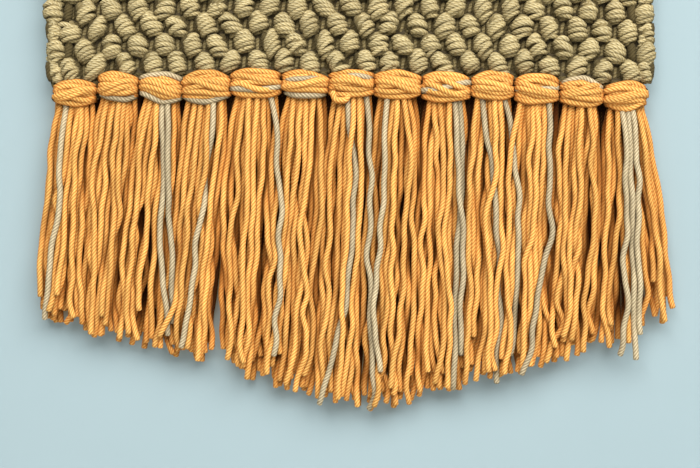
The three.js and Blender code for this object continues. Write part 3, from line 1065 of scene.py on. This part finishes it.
def knot_paths(index):
    """Wraps across a knot's front: outer ones from the bottom up, sunk ones and those that cross."""
    tassel = TASSELS[index]
    half_width = tassel["width"] / 2 - KNOT_RADIUS
    half_height = tassel["height"] / 2 - KNOT_RADIUS
    middle_z = STITCHES_BOTTOM - tassel["sag"] - KNOT_TOP - tassel["height"] / 2
    outer = np.linspace(-1, 1, KNOT_WRAPS)
    inner = (outer[1:] + outer[:-1]) / 2
    crossing = chance.uniform(-CROSS_SPREAD, CROSS_SPREAD, CROSS_WRAPS)
    level = np.concatenate([outer, inner, crossing])
    count = len(level)
    slant = chance.normal(0, KNOT_LEAN) + chance.normal(0, WRAP_LEAN, count)
    slant[-CROSS_WRAPS:] = chance.choice([-1, 1]) * chance.uniform(*CROSS_SLANTS, CROSS_WRAPS)
    lift = np.repeat([0, -INNER_SINK, CROSS_LIFT], [len(outer), len(inner), len(crossing)])
    lift = lift + chance.normal(0, WRAP_LIFT, count)
    turn = np.linspace(-KNOT_TURN, KNOT_TURN, KNOT_POINTS)
    across = np.sin(turn)
    over = np.sign(np.cos(turn)) * np.abs(np.cos(turn)) ** KNOT_FRONT_ROUND
    bend = WRAP_BEND * np.sin(WRAP_BENDS * across + chance.uniform(0, 2 * np.pi, (count, 1)))
    height = np.clip(level[:, None] + slant[:, None] * across + bend, -KNOT_REACH, KNOT_REACH)
    from_middle = (half_width + chance.normal(0, KNOT_UNEVEN, (count, 1))) * across
    bulge = 1 - (1 - KNOT_EDGE_DEPTH) * np.abs(height) ** KNOT_EDGE_ROUND
    y = -KNOT_BACK - (KNOT_DEPTH - KNOT_RADIUS + lift[:, None]) * bulge * over
    z = middle_z + half_height * height * (1 - KNOT_PINCH * across**2)
    tilt = chance.normal(0, KNOT_TILT)
    return np.stack([KNOT_X[index] + from_middle, y, z + tilt * from_middle], -1)


def slipped_path(wraps):
    """The small loop below a bar: from one end under its bottom wrap, down and round, and up again."""
    points = wraps.shape[1]
    _, bottom_y, bottom_z = wraps[0, points // 2]
    share = np.linspace(-1, 1, points)
    x = SLIPPED_X + SLIPPED_WIDTH / 2 * share * (1 + SLIPPED_FULLNESS * (1 - share**2))
    y = bottom_y + SLIPPED_SLANT * share - SLIPPED_OUT
    z = bottom_z + SLIPPED_LIFT - SLIPPED_DROP * (1 - share**SLIPPED_ROUND)
    return np.stack([x, y, z], -1)[None]


MUSTARD_WOOL = yarn_material("mustard_wool", MUSTARD, MUSTARD_PAINTED_SHADE, FRINGE_PLIES)
BEIGE_WOOL = yarn_material("beige_wool", BEIGE, BEIGE_PAINTED_SHADE, FRINGE_PLIES)
fringe = fringe_strands()
fringe_dye = fringe["dye"].astype(int)
hung_fringe = hanging_paths(fringe)
for index in range(len(TASSELS)):
    number = index + 1
    wraps = knot_paths(index)
    if number == SLIPPED_TASSEL:
        wraps = np.concatenate([wraps, slipped_path(wraps)])
    wrap_dye = np.full(len(wraps), MUSTARD_DYE)
    wrap_dye[BEIGE_WRAPS.get(number, [])] = BEIGE_DYE
    # Painted shade: each wrap darkens where it turns back into the knot.
    wrap_front = openness(-wraps[..., 1], KNOT_HIDDEN, KNOT_CLEAR, KNOT_LEAST_OPEN)

    in_tassel = fringe["tassel"] == index
    fronts = np.flatnonzero(in_tassel & (fringe["layer"] < BACK_LAYER))
    backs = np.flatnonzero(in_tassel & (fringe["layer"] == BACK_LAYER))
    front_paths, *front_open = strand_paths(fringe, hung_fringe, fronts)
    back_paths, *back_open = strand_paths(fringe, hung_fringe, backs)
    slots = slot_paths(back_paths, index)
    # The slots take their painted shade from these fixed values.
    slot_open = [np.full(slots.shape[:2], way) for way in (SLOT_FRONT_OPEN, SLOT_BACK_OPEN)]
    back_paths = np.concatenate([slots, back_paths], 1)
    back_open = [np.concatenate(parts, 1) for parts in zip(slot_open, back_open)]

    bundles = [
        spin_yarn(wraps, KNOT_RADIUS, TO_TOP, wrap_dye, wrap_front, KNOT_BACK_OPEN),
        spin_yarn(front_paths, STRAND_RADIUS, TO_BACK, fringe_dye[fronts], *front_open),
        spin_yarn(back_paths, STRAND_RADIUS, TO_RIGHT, fringe_dye[backs], *back_open),
    ]
    piece = yarn_piece(f"yarn_tassel_{number:02d}", bundles, [MUSTARD_WOOL, BEIGE_WOOL])
    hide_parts(f"tassel_{number:02d}")


# The studio: a plain pale wall close behind the hanging and a plain pale floor below it, in metres.
# The wall shows from the front only, and light from behind passes through it to the hanging's back.
WALL_Y = 0.0085
WALL_HALF_WIDTH = 1.5
WALL_TOP = 1.0
FLOOR_Z = -0.62
FLOOR_DEPTH = 2.4
WALL_COLOUR = (0.263, 0.334, 0.35, 1)
FLOOR_COLOUR = (0.62, 0.62, 0.605, 1)
PAINT_MOTTLE = {"Scale": 5.0, "Detail": 2.0}
PAINT_VALUES = (0.97, 1.03)


def painted_material(name, colour):
    """Matt paint that shows on the side that faces the room."""
    material = new_material(name)
    tree = material.node_tree
    place = add_node(tree, "ShaderNodeTexCoord").outputs["Object"]
    mottle = add_node(tree, "ShaderNodeTexNoise", {"Vector": place, **PAINT_MOTTLE})
    value = remap(tree, mottle.outputs[0], (0.0, 1.0), PAINT_VALUES)
    shade = add_node(tree, "ShaderNodeHueSaturation", {"Value": value, "Color": colour})
    paint = add_node(tree, "ShaderNodeBsdfDiffuse", {"Color": shade.outputs[0]})
    clear = add_node(tree, "ShaderNodeBsdfTransparent")
    behind = add_node(tree, "ShaderNodeNewGeometry").outputs["Backfacing"]
    shadow = add_node(tree, "ShaderNodeLightPath").outputs["Is Shadow Ray"]
    passes = calculate(tree, "MAXIMUM", behind, shadow)
    sides = {0: passes, 1: paint.outputs[0], 2: clear.outputs[0]}
    give_surface(material, add_node(tree, "ShaderNodeMixShader", sides))
    return material


def studio_plane(name, corners, colour):
    """A flat four-cornered surface that faces the way its corners turn."""
    plane = bmesh.new()
    plane.faces.new([plane.verts.new(corner) for corner in corners])
    mesh = bpy.data.meshes.new(name)
    plane.to_mesh(mesh)
    plane.free()
    mesh.materials.append(painted_material(name, colour))
    surface = bpy.data.objects.new(name, mesh)
    bpy.context.collection.objects.link(surface)


studio_plane(
    "studio_wall",
    [
        (-WALL_HALF_WIDTH, WALL_Y, FLOOR_Z),
        (WALL_HALF_WIDTH, WALL_Y, FLOOR_Z),
        (WALL_HALF_WIDTH, WALL_Y, WALL_TOP),
        (-WALL_HALF_WIDTH, WALL_Y, WALL_TOP),
    ],
    WALL_COLOUR,
)
studio_plane(
    "studio_floor",
    [
        (-FLOOR_DEPTH, -FLOOR_DEPTH, FLOOR_Z),
        (FLOOR_DEPTH, -FLOOR_DEPTH, FLOOR_Z),
        (FLOOR_DEPTH, FLOOR_DEPTH, FLOOR_Z),
        (-FLOOR_DEPTH, FLOOR_DEPTH, FLOOR_Z),
    ],
    FLOOR_COLOUR,
)


# Soft daylight from the upper right, a weaker light behind for the hanging's back, and an even room light.
# Each lamp is a plain rectangle, sized and placed in metres, that points at the middle of the hanging.
LIGHTS_AIM = (0.0, 0.0, -0.2)
LIGHTS = (
    {"name": "window", "place": (0.32, -1.35, 1.05), "wide": 2.6, "high": 1.3, "power": 98.0},
    {"name": "back_fill", "place": (-0.3, 1.3, 0.5), "wide": 1.2, "high": 1.2, "power": 32.0},
)
ROOM_LIGHT = (0.17, 0.173, 0.176, 1)


def aim(thing, place, target):
    """Puts a lamp or the camera at a place, looking at the target."""
    thing.location = place
    thing.rotation_euler = (Vector(target) - Vector(place)).to_track_quat("-Z", "Y").to_euler()
    bpy.context.collection.objects.link(thing)


for light in LIGHTS:
    lamp = bpy.data.lights.new(light["name"], "AREA")
    lamp.shape = "RECTANGLE"
    lamp.size = light["wide"]
    lamp.size_y = light["high"]
    lamp.energy = light["power"]
    aim(bpy.data.objects.new(light["name"], lamp), light["place"], LIGHTS_AIM)
world = bpy.data.worlds.new("room")
bpy.context.scene.world = world
world.use_nodes = True
world.node_tree.nodes["Background"].inputs["Color"].default_value = ROOM_LIGHT
bpy.context.scene.view_settings.view_transform = "Standard"


# The camera faces the hanging squarely and frames its lower part, 350 mm wide at the fringe.
# Its distance, in metres, follows from the lens and from that width.
LENS = 70
SENSOR = 36
VIEW_WIDTH = 0.35
VIEW_CENTRE_Z = -0.201
FRINGE_Y = -0.006
lens = bpy.data.cameras.new("camera")
lens.lens = LENS
lens.sensor_width = SENSOR
camera = bpy.data.objects.new("camera", lens)
camera_y = FRINGE_Y - VIEW_WIDTH * LENS / SENSOR
aim(camera, (0, camera_y, VIEW_CENTRE_Z), (0, FRINGE_Y, VIEW_CENTRE_Z))
bpy.context.scene.camera = camera
